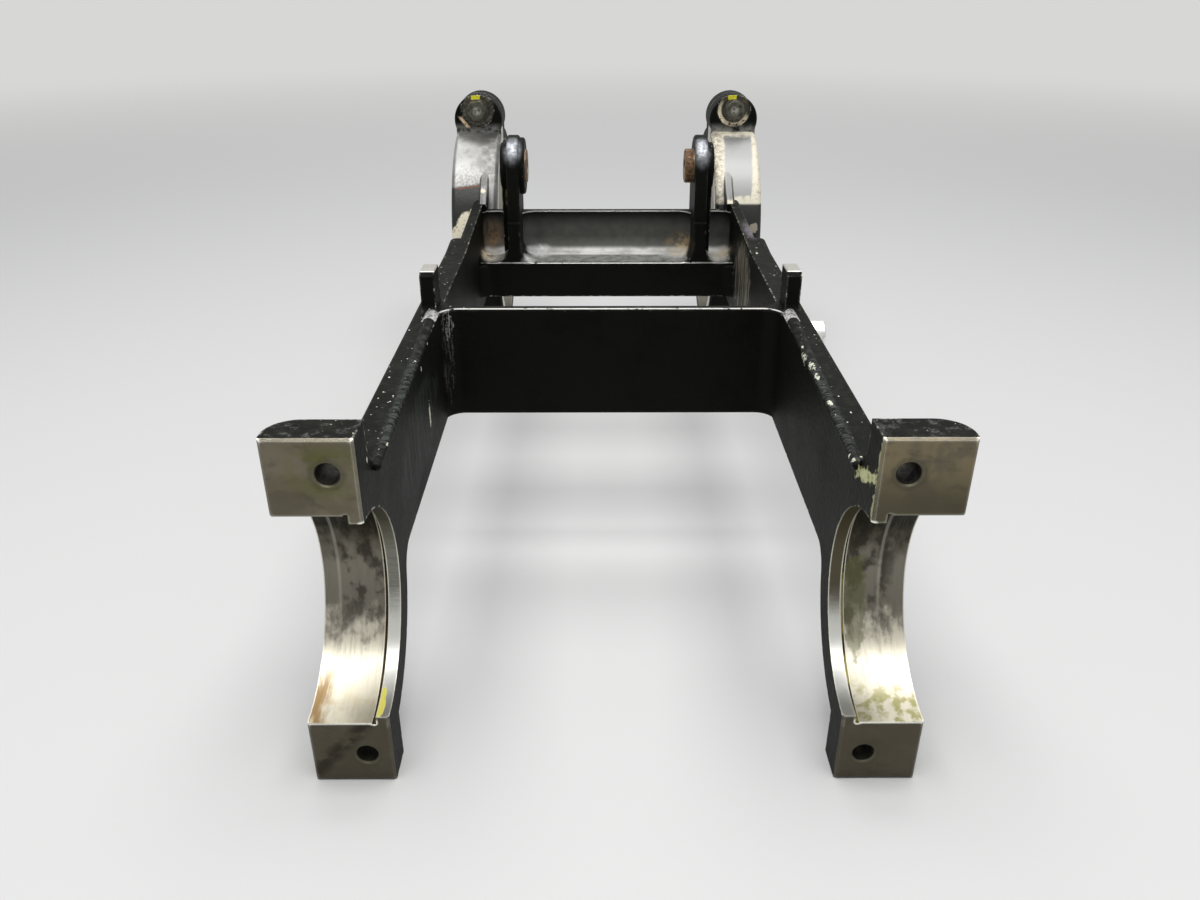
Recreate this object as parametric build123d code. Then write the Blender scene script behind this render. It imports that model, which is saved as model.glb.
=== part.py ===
from build123d import *
import math
import os

# Cast spacing frame of a helicopter belt drive: two rails joined by two cross-members,
# with a pair of split-bearing saddles at each end. Millimetres, +Z up, -Y to the near saddles.

# Stance: the bearing axes run along X
AXIS_SPACING = 464.0
NEAR_AXIS_HEIGHT = 73.5
FAR_AXIS_HEIGHT = 98.0

# Near saddles, open towards -Y
NEAR_BORE_R = 45.0
NEAR_WALL = 10.0
NEAR_INNER_X = 84.5
NEAR_WIDTH = 31.0
NEAR_BLOCK_DEPTH = 15.0
NEAR_BOLT_OFFSET = 60.5
NEAR_BOLT_INSET = 10.0
NEAR_SPOT_R = 8.5
BLOCK_CORNER_R = 11.0
LIP_WIDTH = 5.0
LIP_RISE = 3.0
GROOVE_WIDTH = 1.6
GROOVE_DEPTH = 0.6

# Far arms, open towards +Y
FAR_BORE_R = 65.0
FAR_WALL = 9.5
FAR_INNER_X = 75.5
FAR_WIDTH = 32.0
FAR_LUG_DEPTH = 15.0
FAR_LUG_R = 17.0
FAR_BOLT_OFFSET = 88.0
SPOT_R = 11.5
SPOT_DEPTH = 1.5

# Rails
WEB = 7.0
RAIL_BOTTOM = 69.5
RAIL_TOP = 127.0
RAIL_RISE_FROM = 290.0
RAIL_FAR_TOP = 133.5
RAIL_RIB_TOP = 150.0
FLANGE_WIDTH = 12.5
FLANGE = 5.0
FLANGE_SETBACK = 317.0
FLANGE_END_R = 4.0
BEAD_R = 3.2
BEAD_TIP_R = 1.8
BEAD_BALL_R = 1.9
BEAD_NEAR_X = 83.4
BEAD_FAR_X = 88.3
RIB_INNER_X = 81.5
RIB = 6.0
RIB_LEAN_R = 5.0

# Near cross-member
CROSS_SETBACK = 186.0
CROSS = 6.0
CROSS_CORNER_R = 9.0

# Far cross-member: a shelf between a front skirt and a back wall
TROUGH_SETBACK = 352.0
TROUGH_DEPTH = 36.0
TROUGH_WALL = 5.5
SKIRT_BOTTOM = 79.5
SHELF_TOP = 102.5
TROUGH_TOP = 128.5
SCOOP_R = 9.0

# Pivot ears on the far cross-member, with pressed flanged bushes
EAR_INNER_X = 57.0
EAR = 8.0
EAR_SETBACK = 378.0
EAR_HEIGHT = 160.5
HUB_R = 19.5
BOSS_R = 15.0
BOSS_RISE = 4.5
BUSH_BORE_R = 4.8
BUSH_BODY_R = 7.9
BUSH_FLANGE_R = 10.8
LEFT_HUB_RISE = 3.4
LEFT_HUB_R = 18.0
RIGHT_BUSH_FLANGE = 5.8
LEFT_BUSH_FLANGE = 1.2

# Lugs that stand on the rails, and the steel sleeve in the right rail
LUG_SETBACK = 182.0
LUG_LENGTH = 15.0
LUG_INSET = 1.6
LUG_WIDTH = 7.2
LUG_TOP = 147.0
LUG_BEVEL = 2.4
LUG_ROOT_R = 4.0
SLEEVE_SETBACK = 189.0
SLEEVE_HEIGHT = 112.5
SLEEVE_R = 7.3
SLEEVE_BORE_R = 4.1
SLEEVE_END_X = 108.0
SLEEVE_SEAT = 8.0
SLEEVE_BOSS_R = 11.0
SLEEVE_BOSS_RISE = 4.0

# Fasteners: 5/16 inch bolts
BOLT_R = 3.97
BOLT_HOLE_R = 4.05
BOLT_HEAD_FLATS = 12.7
BOLT_HEAD = 5.4
BOLT_PROUD = 2.5
NUT = 7.9
NUT_COLLAR = 2.2
WASHER_R = 7.2
WASHER = 1.6
HOLE_CHAMFER = 0.6
FACE_CHAMFER = 0.9

CAST_EDGE_R = 1.6
LIP_EDGE_R = 1.0
WEB_EDGE_R = 2.5
ROOT_R = 12.0

# Sizes that follow
FAR_SHELL_R = FAR_BORE_R + FAR_WALL
NEAR_SHELL_R = NEAR_BORE_R + NEAR_WALL
NEAR_Y = -(AXIS_SPACING + FAR_SHELL_R) / 2
FAR_Y = NEAR_Y + AXIS_SPACING
NEAR_TOP = 2 * NEAR_AXIS_HEIGHT
FAR_TOP = 2 * FAR_AXIS_HEIGHT
NEAR_OUTER_X = NEAR_INNER_X + NEAR_WIDTH
FAR_OUTER_X = FAR_INNER_X + FAR_WIDTH
FAR_MID_X = FAR_INNER_X + FAR_WIDTH / 2
FLANGE_X = NEAR_INNER_X + FLANGE_WIDTH
SIDES = {"right": 1, "left": -1}
BUSH_FLANGE = {"right": RIGHT_BUSH_FLANGE, "left": LEFT_BUSH_FLANGE}
HUB_FACE_X = {"right": EAR_INNER_X, "left": EAR_INNER_X - LEFT_HUB_RISE}


def back(setback):
    # A distance behind the near saddles' flat faces
    return NEAR_Y + setback


def yz_slab(profile, x_from, width):
    # A profile drawn in Y and Z, given a width along X
    return extrude(Plane.YZ.offset(x_from) * profile, amount=width, dir=(1, 0, 0))


def rect(y_from, y_to, z_from, z_to):
    mid = Pos((y_from + y_to) / 2, (z_from + z_to) / 2)
    return mid * Rectangle(y_to - y_from, z_to - z_from)


def disc(y, z, radius):
    return Pos(y, z) * Circle(radius)


def block(x_from, x_to, y_from, y_to, z_from, z_to):
    mid = Pos((x_from + x_to) / 2, (y_from + y_to) / 2, (z_from + z_to) / 2)
    return mid * Box(x_to - x_from, y_to - y_from, z_to - z_from)


def x_rod(x_from, x_to, y, z, radius):
    return yz_slab(disc(y, z, radius), x_from, x_to - x_from)


def y_rod(x, y_from, y_to, z, radius):
    return Pos(x, (y_from + y_to) / 2, z) * Rot(90, 0, 0) * Cylinder(radius, y_to - y_from)


def round_corner(sketch, y, z, radius):
    nearest = sketch.vertices().sort_by_distance((y, z, 0))[0]
    return fillet(nearest, radius)


def tangent_point(centre, radius, outside, side):
    # Where the line from an outside point touches a circle, on one side of it
    dy = outside[0] - centre[0]
    dz = outside[1] - centre[1]
    turn = math.atan2(dz, dy) + side * math.acos(radius / math.hypot(dy, dz))
    return (centre[0] + radius * math.cos(turn), centre[1] + radius * math.sin(turn))


def near_shell():
    half = disc(NEAR_Y, NEAR_AXIS_HEIGHT, NEAR_SHELL_R)
    return half & rect(NEAR_Y, back(NEAR_SHELL_R), 0, NEAR_TOP)


def far_shell():
    half = disc(FAR_Y, FAR_AXIS_HEIGHT, FAR_SHELL_R)
    return half & rect(FAR_Y - FAR_SHELL_R, FAR_Y, 0, FAR_TOP)


def ring_front(z, radius):
    # Where a circle about the far axis stands at a height, on its near side
    return FAR_Y - math.sqrt(radius**2 - (z - FAR_AXIS_HEIGHT) ** 2)


def rail_profile():
    # Near shell and block, web, and far shell in one outline, with the casting's root radii
    web = Polygon(
        (NEAR_Y, RAIL_BOTTOM),
        (FAR_Y, RAIL_BOTTOM),
        (FAR_Y, RAIL_FAR_TOP),
        (ring_front(RAIL_FAR_TOP, FAR_SHELL_R) - ROOT_R, RAIL_FAR_TOP),
        (back(RAIL_RISE_FROM), RAIL_TOP),
        (NEAR_Y, RAIL_TOP),
        align=None,
    )
    top_block = rect(NEAR_Y, back(NEAR_BLOCK_DEPTH), NEAR_AXIS_HEIGHT, NEAR_TOP)
    outline = web + near_shell() + top_block + far_shell()
    block_root_r = min(ROOT_R, 0.6 * (NEAR_TOP - RAIL_TOP))
    outline = round_corner(outline, back(NEAR_BLOCK_DEPTH), RAIL_TOP, block_root_r)
    outline = round_corner(outline, back(NEAR_SHELL_R), RAIL_BOTTOM, ROOT_R)
    return round_corner(outline, FAR_Y - FAR_SHELL_R, RAIL_BOTTOM, ROOT_R)


def rail_web():
    # The rail's plate; behind the flange its top outer edge is rounded off
    web = yz_slab(rail_profile(), NEAR_INNER_X, WEB)
    outer = web.edges().filter_by(GeomType.LINE).filter_by(lambda e: e.center().X > NEAR_INNER_X + WEB - 0.1)
    top = outer.filter_by(lambda e: e.center().Y > back(RAIL_RISE_FROM) and e.center().Z > RAIL_TOP)
    return fillet(top, WEB_EDGE_R)


def arm_rib():
    # The web runs on up the far arm as a low rib that dies out on its round back
    foot = ring_front(RAIL_FAR_TOP, FAR_SHELL_R) - ROOT_R
    crest = ring_front(RAIL_RIB_TOP, FAR_SHELL_R)
    inside = FAR_Y - FAR_BORE_R / 2
    profile = Polygon(
        (foot, RAIL_FAR_TOP - FLANGE),
        (inside, RAIL_FAR_TOP - FLANGE),
        (inside, RAIL_RIB_TOP),
        (crest, RAIL_RIB_TOP),
        (foot, RAIL_FAR_TOP),
        align=None,
    )
    rib = yz_slab(profile, RIB_INNER_X, RIB)
    slope = rib.edges().filter_by(lambda e: abs(e.tangent_at(0.5).Y * e.tangent_at(0.5).Z) > 0.1)
    rib = fillet(slope, CAST_EDGE_R)
    front = Pos(RIB_INNER_X + RIB / 2, RAIL_RIB_TOP / 2) * Rectangle(RIB, RAIL_RIB_TOP)
    front = round_corner(front, RIB_INNER_X + RIB, RAIL_RIB_TOP, RIB_LEAN_R)
    leaning = extrude(Plane.XZ.offset(-inside) * front, amount=inside - foot + 1, dir=(0, -1, 0))
    return rib & leaning


def flange():
    # The rail's top flange follows the web's top edge, stands outwards and stops short of the arm
    start = back(NEAR_BLOCK_DEPTH) - 1
    rise = back(RAIL_RISE_FROM)
    end = back(FLANGE_SETBACK)
    slope = (RAIL_FAR_TOP - RAIL_TOP) / (ring_front(RAIL_FAR_TOP, FAR_SHELL_R) - ROOT_R - rise)
    top = [(start, RAIL_TOP), (rise, RAIL_TOP), (end, RAIL_TOP + slope * (end - rise))]
    underside = [(y, z - FLANGE) for y, z in reversed(top)]
    bar = yz_slab(Polygon(*top, *underside, align=None), NEAR_INNER_X, FLANGE_WIDTH)
    corner = bar.edges().filter_by(Axis.Z).sort_by_distance((FLANGE_X, end, RAIL_TOP))[0]
    bar = fillet(corner, FLANGE_END_R)
    rim = bar.edges().filter_by(lambda e: abs(e.tangent_at(0.5).Z) < 0.5 and e.center().Y > start + 1)
    return fillet(rim.filter_by(lambda e: e.center().X > NEAR_INNER_X + 1), CAST_EDGE_R)


def bead():
    # A raised round on the front bay's rail, which tapers in over the web towards the block
    start = Vector(BEAD_NEAR_X, back(NEAR_BLOCK_DEPTH + ROOT_R / 2), RAIL_TOP - BEAD_TIP_R / 3)
    end = Vector(BEAD_FAR_X, back(LUG_SETBACK), RAIL_TOP - BEAD_R / 3)
    run = end - start
    low = (Align.CENTER, Align.CENTER, Align.MIN)
    rod = Plane(origin=start, z_dir=run) * Cone(BEAD_TIP_R, BEAD_R, run.length, align=low)
    return rod + Pos(*start) * Sphere(BEAD_BALL_R)


def near_block(z_from, z_to):
    y_to = back(NEAR_BLOCK_DEPTH)
    solid = block(NEAR_INNER_X, NEAR_OUTER_X, NEAR_Y, y_to, z_from, z_to)
    upright = solid.edges().filter_by(Axis.Z).sort_by_distance((NEAR_OUTER_X, y_to, z_from))[0]
    return fillet(upright, BLOCK_CORNER_R)


def near_saddle():
    shell = yz_slab(near_shell(), NEAR_INNER_X, NEAR_WIDTH)
    round_edges = shell.edges().filter_by(GeomType.CIRCLE)
    shell = fillet(round_edges.filter_by(lambda e: e.center().X > NEAR_OUTER_X - 0.1), CAST_EDGE_R)
    solid = shell + near_block(0, NEAR_AXIS_HEIGHT - NEAR_BORE_R)
    solid += near_block(NEAR_AXIS_HEIGHT + NEAR_BORE_R, NEAR_TOP)
    return solid


def near_saddle_cuts():
    # Seat bore, the groove that a grinding wheel left beside the lip, and the lip's own bore
    lip_end = NEAR_INNER_X + LIP_WIDTH
    lip = x_rod(NEAR_INNER_X - 1, lip_end + 1, NEAR_Y, NEAR_AXIS_HEIGHT, NEAR_BORE_R - LIP_RISE)
    groove_r = NEAR_BORE_R + GROOVE_DEPTH
    groove = x_rod(lip_end, lip_end + GROOVE_WIDTH, NEAR_Y, NEAR_AXIS_HEIGHT, groove_r)
    seat = x_rod(lip_end, NEAR_OUTER_X + 1, NEAR_Y, NEAR_AXIS_HEIGHT, NEAR_BORE_R)
    return lip + groove + seat


def far_lug(end):
    # A bolt lug on a far arm, rounded in the bolt's direction; end is 1 for the top one
    tip = FAR_AXIS_HEIGHT + end * (FAR_AXIS_HEIGHT - FAR_LUG_R)
    tab = Pos(FAR_MID_X, tip) * Circle(FAR_LUG_R)
    tab += Pos(FAR_MID_X, (tip + FAR_AXIS_HEIGHT) / 2) * Rectangle(FAR_WIDTH, abs(tip - FAR_AXIS_HEIGHT))
    plate = extrude(Plane.XZ.offset(-FAR_Y) * tab, amount=FAR_LUG_DEPTH)
    face_edges = plate.edges().filter_by(lambda e: e.center().Y < FAR_Y - FAR_LUG_DEPTH + 0.1)
    return fillet(face_edges, CAST_EDGE_R)


def far_arm():
    ring = yz_slab(far_shell(), FAR_INNER_X, FAR_WIDTH)
    rim = ring.edges().filter_by(GeomType.CIRCLE)
    arm = fillet(rim, 2 * CAST_EDGE_R)
    return arm + far_lug(1) + far_lug(-1)


def ear():
    # A pivot ear: round hub on a foot as deep as the shelf
    hub = (back(EAR_SETBACK), EAR_HEIGHT)
    front_foot = (back(TROUGH_SETBACK) + CAST_EDGE_R, SHELF_TOP)
    rear_foot = (back(TROUGH_SETBACK + TROUGH_DEPTH + TROUGH_WALL), SHELF_TOP)
    front_touch = tangent_point(hub, HUB_R, front_foot, -1)
    rear_touch = tangent_point(hub, HUB_R, rear_foot, 1)
    floor_z = SHELF_TOP - TROUGH_WALL
    foot = Polygon(
        (front_foot[0], floor_z), (rear_foot[0], floor_z), rear_foot, rear_touch, front_touch, front_foot,
        align=None,
    )
    plate = yz_slab(foot + disc(*hub, HUB_R), EAR_INNER_X, EAR)
    rim = plate.edges().filter_by(lambda e: abs(e.tangent_at(0.5).X) < 0.5 and e.center().Z > SHELF_TOP)
    plate = fillet(rim, CAST_EDGE_R)
    boss = x_rod(EAR_INNER_X + EAR, EAR_INNER_X + EAR + BOSS_RISE, *hub, BOSS_R)
    boss_edge = boss.edges().filter_by(lambda e: e.center().X > EAR_INNER_X + EAR + BOSS_RISE - 0.1)
    rib_top = EAR_HEIGHT - BOSS_R / 2
    rib = block(
        EAR_INNER_X + EAR, EAR_INNER_X + EAR + BOSS_RISE,
        hub[0] - BOSS_RISE, back(TROUGH_SETBACK + TROUGH_DEPTH) + 1,
        floor_z + 1, rib_top,
    )
    return plate + fillet(boss_edge, CAST_EDGE_R) + rib


def left_hub_boss():
    # Only the left ear has a thicker hub: a low round boss on its inner side
    face_x = -HUB_FACE_X["left"]
    boss = x_rod(-EAR_INNER_X - 1, face_x, back(EAR_SETBACK), EAR_HEIGHT, LEFT_HUB_R)
    rim = boss.edges().filter_by(lambda e: e.center().X > face_x - 0.1)
    return fillet(rim, CAST_EDGE_R)


def side_lug():
    # A lug on the rail, with a hollow root radius in front, a machined top and a bevelled brow
    y_from = back(LUG_SETBACK)
    y_to = y_from + LUG_LENGTH
    foot = RAIL_TOP - FLANGE
    profile = Polygon(
        (y_from, foot),
        (y_to, foot),
        (y_to, LUG_TOP),
        (y_from + LUG_BEVEL, LUG_TOP),
        (y_from, LUG_TOP - LUG_BEVEL),
        align=None,
    )
    profile += rect(y_from - LUG_ROOT_R, y_from, foot, RAIL_TOP + LUG_ROOT_R)
    profile -= disc(y_from - LUG_ROOT_R, RAIL_TOP + LUG_ROOT_R, LUG_ROOT_R)
    lug = yz_slab(profile, NEAR_INNER_X + LUG_INSET, LUG_WIDTH)
    top = lug.faces().sort_by(Axis.Z)[-1]
    return chamfer(top.edges(), HOLE_CHAMFER)


def pocket(x_from, x_to):
    # The space of one scoop in the far cross-member, open to the front and top
    y_from = back(TROUGH_SETBACK - TROUGH_DEPTH)
    y_to = back(TROUGH_SETBACK + TROUGH_DEPTH)
    space = block(x_from, x_to, y_from, y_to, SHELF_TOP, TROUGH_TOP + TROUGH_DEPTH)
    floor_edges = space.edges().filter_by(lambda e: e.center().Z < SHELF_TOP + 0.1)
    floor_edges = floor_edges.filter_by(lambda e: e.center().Y > y_from + 0.1)
    uprights = space.edges().filter_by(Axis.Z).filter_by(lambda e: e.center().Y > y_to - 0.1)
    return fillet(floor_edges + uprights, SCOOP_R)


def ladder(y_from, thickness, z_from, z_to):
    # A plate from rail to rail with a root radius at each corner
    inner = NEAR_INNER_X + WEB / 2
    y_mid = y_from + thickness / 2
    plate = Pos(0, y_mid) * Rectangle(2 * inner, thickness)
    for side in SIDES.values():
        stem = Pos(side * (NEAR_INNER_X + WEB / 4), y_mid)
        plate += stem * Rectangle(WEB / 2, thickness + 4 * CROSS_CORNER_R)
    corners = plate.vertices().filter_by(
        lambda v: abs(abs(v.X) - NEAR_INNER_X) < 0.1 and abs(v.Y - y_mid) < thickness
    )
    plate = fillet(corners, CROSS_CORNER_R)
    solid = extrude(Pos(0, 0, z_from) * plate, amount=z_to - z_from)
    level = solid.edges().filter_by(lambda e: abs(e.tangent_at(0.5).Z) < 0.5)
    return fillet(level.filter_by(lambda e: abs(e.center().X) < NEAR_INNER_X - 0.1), CAST_EDGE_R)


def far_trough():
    y_from = back(TROUGH_SETBACK)
    y_wall = y_from + TROUGH_DEPTH
    y_to = y_wall + TROUGH_WALL
    body = block(-NEAR_INNER_X - 1, NEAR_INNER_X + 1, y_from, y_to, SKIRT_BOTTOM, TROUGH_TOP)
    body -= block(
        -NEAR_INNER_X - 2, NEAR_INNER_X + 2, y_from + TROUGH_WALL, y_to + 1,
        SKIRT_BOTTOM - 1, SHELF_TOP - TROUGH_WALL,
    )
    body -= pocket(-EAR_INNER_X, EAR_INNER_X)
    for side in SIDES.values():
        ends = sorted((side * (EAR_INNER_X + EAR), side * (NEAR_INNER_X + 1)))
        body -= pocket(*ends)
    front = body.edges().filter_by(lambda e: abs(e.center().Y - y_from) < 0.1)
    lips = front.filter_by(lambda e: SHELF_TOP - 0.1 < e.center().Z < TROUGH_TOP - 0.1)
    return fillet(lips.filter_by(lambda e: abs(e.center().X) < NEAR_INNER_X), LIP_EDGE_R)


def on_face_outline(edge):
    # True for the straight outer edges of the near saddles' machined faces
    spot = edge.center()
    at_side = min(abs(spot.X - NEAR_INNER_X), abs(spot.X - NEAR_OUTER_X)) < 0.1
    at_end = min(spot.Z, NEAR_TOP - spot.Z) < 0.1
    return abs(spot.Y - NEAR_Y) < 0.1 and (at_side or at_end)


def side_frame():
    # Everything on the right-hand rail, before the holes
    solid = rail_web()
    solid += flange()
    solid += bead()
    solid += near_saddle()
    solid += far_arm()
    solid += arm_rib()
    solid += ear()
    solid += side_lug()
    solid -= near_saddle_cuts()
    solid -= x_rod(FAR_INNER_X - 1, FAR_OUTER_X + 1, FAR_Y, FAR_AXIS_HEIGHT, FAR_BORE_R)
    face_outline = solid.edges().filter_by(GeomType.LINE).filter_by(on_face_outline)
    return chamfer(face_outline, FACE_CHAMFER)


def bolt_hole(x, y_from, y_to, z, y_face, mouth):
    # A through hole whose mouth at y_face is chamfered; mouth is 1 if it opens towards +Y
    hole = y_rod(x, y_from, y_to, z, BOLT_HOLE_R)
    cone = Cone(BOLT_HOLE_R, BOLT_HOLE_R + HOLE_CHAMFER, HOLE_CHAMFER)
    return hole + Pos(x, y_face - mouth * HOLE_CHAMFER / 2, z) * Rot(-90 * mouth, 0, 0) * cone


def frame_casting():
    half = side_frame()
    casting = half + mirror(half, about=Plane.YZ)
    casting += ladder(back(CROSS_SETBACK), CROSS, RAIL_BOTTOM, RAIL_TOP)
    casting += ladder(back(TROUGH_SETBACK), TROUGH_WALL, SKIRT_BOTTOM, SHELF_TOP - CAST_EDGE_R)
    casting += far_trough()
    casting += left_hub_boss()
    web_outer = NEAR_INNER_X + WEB
    boss_end = web_outer + SLEEVE_BOSS_RISE
    sleeve_at = (back(SLEEVE_SETBACK), SLEEVE_HEIGHT)
    casting += x_rod(web_outer - 1, boss_end, *sleeve_at, SLEEVE_BOSS_R)
    casting -= x_rod(boss_end - SLEEVE_SEAT, boss_end + 1, *sleeve_at, SLEEVE_R)
    for side_name, side in SIDES.items():
        for end in (1, -1):
            x = side * (NEAR_INNER_X + NEAR_BOLT_INSET)
            z = NEAR_AXIS_HEIGHT + end * NEAR_BOLT_OFFSET
            rear = back(NEAR_BLOCK_DEPTH)
            casting -= bolt_hole(x, NEAR_Y - 1, rear + 1, z, NEAR_Y, -1)
            casting -= y_rod(x, rear, rear + ROOT_R, z, NEAR_SPOT_R)
            z = FAR_AXIS_HEIGHT + end * FAR_BOLT_OFFSET
            x = side * FAR_MID_X
            spot_y = FAR_Y - FAR_LUG_DEPTH + SPOT_DEPTH
            casting -= y_rod(x, FAR_Y - FAR_SHELL_R, spot_y, z, SPOT_R)
            casting -= y_rod(x, spot_y - 1, FAR_Y + 1, z, BOLT_HOLE_R)
        ends = sorted((side * (HUB_FACE_X[side_name] - 1), side * (EAR_INNER_X + EAR + BOSS_RISE + 1)))
        casting -= x_rod(*ends, back(EAR_SETBACK), EAR_HEIGHT, BUSH_BODY_R)
    return casting


def far_cap(side):
    # The far arm's other half, turned over to close the bore
    cap = mirror(far_arm(), about=Plane.XZ.offset(-FAR_Y))
    cap -= x_rod(FAR_INNER_X - 1, FAR_OUTER_X + 1, FAR_Y, FAR_AXIS_HEIGHT, FAR_BORE_R)
    spot_y = FAR_Y + FAR_LUG_DEPTH - SPOT_DEPTH
    for end in (1, -1):
        z = FAR_AXIS_HEIGHT + end * FAR_BOLT_OFFSET
        cap -= y_rod(FAR_MID_X, spot_y, FAR_Y + FAR_SHELL_R, z, SPOT_R)
        cap -= y_rod(FAR_MID_X, FAR_Y - 1, spot_y + 1, z, BOLT_HOLE_R)
    return cap if side > 0 else mirror(cap, about=Plane.YZ)


def hexagon(y_from, y_to, flats):
    # A hexagon along Y with its corners turned off at both ends
    across = flats / math.cos(math.pi / 6)
    length = y_to - y_from
    prism = Rot(90, 0, 0) * extrude(RegularPolygon(across / 2, 6), amount=length / 2, both=True)
    turned = Cylinder(across / 2, length)
    turned = chamfer(turned.edges(), (across - flats) / 2, (across - flats) / 4)
    return Pos(0, (y_from + y_to) / 2, 0) * (prism & Rot(90, 0, 0) * turned)


def far_bolt():
    # Drawn about its own axis, at the far arms' Y
    seat = FAR_Y - FAR_LUG_DEPTH + SPOT_DEPTH - WASHER
    tip = FAR_Y + FAR_LUG_DEPTH - SPOT_DEPTH + WASHER + NUT + BOLT_PROUD
    head = hexagon(seat - BOLT_HEAD, seat, BOLT_HEAD_FLATS)
    shank = y_rod(0, seat - 1, tip, 0, BOLT_R)
    point = shank.edges().filter_by(lambda e: e.center().Y > tip - 0.1)
    return head + chamfer(point, HOLE_CHAMFER)


def far_nut():
    # A self-locking nut: a hexagon with a round collar
    seat = FAR_Y + FAR_LUG_DEPTH - SPOT_DEPTH + WASHER
    hex_end = seat + NUT - NUT_COLLAR
    nut = hexagon(seat, hex_end, BOLT_HEAD_FLATS)
    collar = y_rod(0, hex_end - 1, seat + NUT, 0, BOLT_HEAD_FLATS / 2 - HOLE_CHAMFER)
    top = collar.edges().filter_by(lambda e: e.center().Y > seat + NUT - 0.1)
    nut += chamfer(top, HOLE_CHAMFER)
    return nut - y_rod(0, seat - 1, seat + NUT + 1, 0, BOLT_R)


def washer(y_from):
    ring = y_rod(0, y_from, y_from + WASHER, 0, WASHER_R)
    return ring - y_rod(0, y_from - 1, y_from + WASHER + 1, 0, BOLT_HOLE_R)


def ear_bush(side_name):
    # A flanged bush pressed into the ear from the inner side
    flange_thickness = BUSH_FLANGE[side_name]
    hub = (back(EAR_SETBACK), EAR_HEIGHT)
    outer = EAR_INNER_X + EAR + BOSS_RISE
    face_x = HUB_FACE_X[side_name]
    bush = x_rod(face_x, outer, *hub, BUSH_BODY_R)
    inner = face_x - flange_thickness
    flange_disc = x_rod(inner, face_x, *hub, BUSH_FLANGE_R)
    rim = flange_disc.edges().filter_by(lambda e: e.center().X < inner + 0.1)
    bush += chamfer(rim, HOLE_CHAMFER)
    bush -= x_rod(inner - 1, outer + 1, *hub, BUSH_BORE_R)
    return bush if side_name == "right" else mirror(bush, about=Plane.YZ)


def side_sleeve():
    # A steel sleeve pressed into the right rail's boss
    at = (back(SLEEVE_SETBACK), SLEEVE_HEIGHT)
    start = NEAR_INNER_X + WEB + SLEEVE_BOSS_RISE - SLEEVE_SEAT
    tube = x_rod(start, SLEEVE_END_X, *at, SLEEVE_R)
    end = tube.edges().filter_by(lambda e: e.center().X > SLEEVE_END_X - 0.1)
    tube = chamfer(end, HOLE_CHAMFER)
    return tube - x_rod(start - 1, SLEEVE_END_X + 1, *at, SLEEVE_BORE_R)


def write(shape, name):
    export_step(shape, f"parts/{name}.step")


os.makedirs("parts", exist_ok=True)
write(frame_casting(), "frame_casting")
write(side_sleeve(), "side_sleeve")
for side_name, side in SIDES.items():
    write(far_cap(side), f"far_cap_{side_name}")
    write(ear_bush(side_name), f"ear_bush_{side_name}")
    for end_name, end in {"upper": 1, "lower": -1}.items():
        axis_at = Pos(side * FAR_MID_X, 0, FAR_AXIS_HEIGHT + end * FAR_BOLT_OFFSET)
        place = f"{end_name}_{side_name}"
        head_seat = FAR_Y - FAR_LUG_DEPTH + SPOT_DEPTH
        write(axis_at * far_bolt(), f"cap_bolt_{place}")
        write(axis_at * far_nut(), f"cap_nut_{place}")
        write(axis_at * washer(head_seat - WASHER), f"head_washer_{place}")
        write(axis_at * washer(FAR_Y + FAR_LUG_DEPTH - SPOT_DEPTH), f"nut_washer_{place}")
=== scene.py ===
import bpy
import math
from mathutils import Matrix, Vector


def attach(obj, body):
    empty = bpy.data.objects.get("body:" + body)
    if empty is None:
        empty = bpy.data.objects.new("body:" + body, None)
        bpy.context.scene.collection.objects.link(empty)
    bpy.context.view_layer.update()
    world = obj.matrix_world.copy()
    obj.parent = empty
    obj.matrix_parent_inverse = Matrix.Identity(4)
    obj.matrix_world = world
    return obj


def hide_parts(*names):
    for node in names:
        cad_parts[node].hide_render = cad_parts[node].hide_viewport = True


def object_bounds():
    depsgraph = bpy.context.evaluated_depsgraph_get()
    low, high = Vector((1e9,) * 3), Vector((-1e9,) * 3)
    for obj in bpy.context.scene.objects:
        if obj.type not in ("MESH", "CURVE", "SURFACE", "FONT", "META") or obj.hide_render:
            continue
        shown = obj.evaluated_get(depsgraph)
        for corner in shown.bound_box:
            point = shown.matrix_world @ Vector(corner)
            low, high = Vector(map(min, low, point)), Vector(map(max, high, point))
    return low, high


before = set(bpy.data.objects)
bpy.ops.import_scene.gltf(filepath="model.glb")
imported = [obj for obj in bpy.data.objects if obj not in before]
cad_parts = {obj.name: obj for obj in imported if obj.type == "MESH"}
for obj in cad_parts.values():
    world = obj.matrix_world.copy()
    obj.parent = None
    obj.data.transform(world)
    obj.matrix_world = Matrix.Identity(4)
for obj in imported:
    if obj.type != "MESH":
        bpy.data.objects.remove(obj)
cad_low, cad_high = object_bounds()


# The casting: two rails and two cross-members sand-cast in one piece of aluminium, with the
# near saddles, far arms, ears and lugs on them. It was painted black all over, then machined.
near_y = cad_low.y
far_y = near_y + 0.464
block_depth = 0.015
rail_inner_x = 0.0845
rail_top = 0.127
round_drift = 0.0304
cross_y = near_y + 0.186
cross_corner_r = 0.009
trough_y = near_y + 0.352
shelf_top = 0.1025
lug_face_y = far_y - 0.015

paint_black = (0.0055, 0.006, 0.0045)
paint_soot = (0.003, 0.003, 0.0025)
bare_aluminium = (0.52, 0.51, 0.46)
chip_white = (0.74, 0.74, 0.60)


def feed(entry, value):
    # Links a wire to a shader's entry, or sets a number or a colour there
    if isinstance(value, Wire):
        value.tree.links.new(value.socket, entry)
    else:
        entry.default_value = (*value, 1) if entry.type == "RGBA" else value


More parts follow.
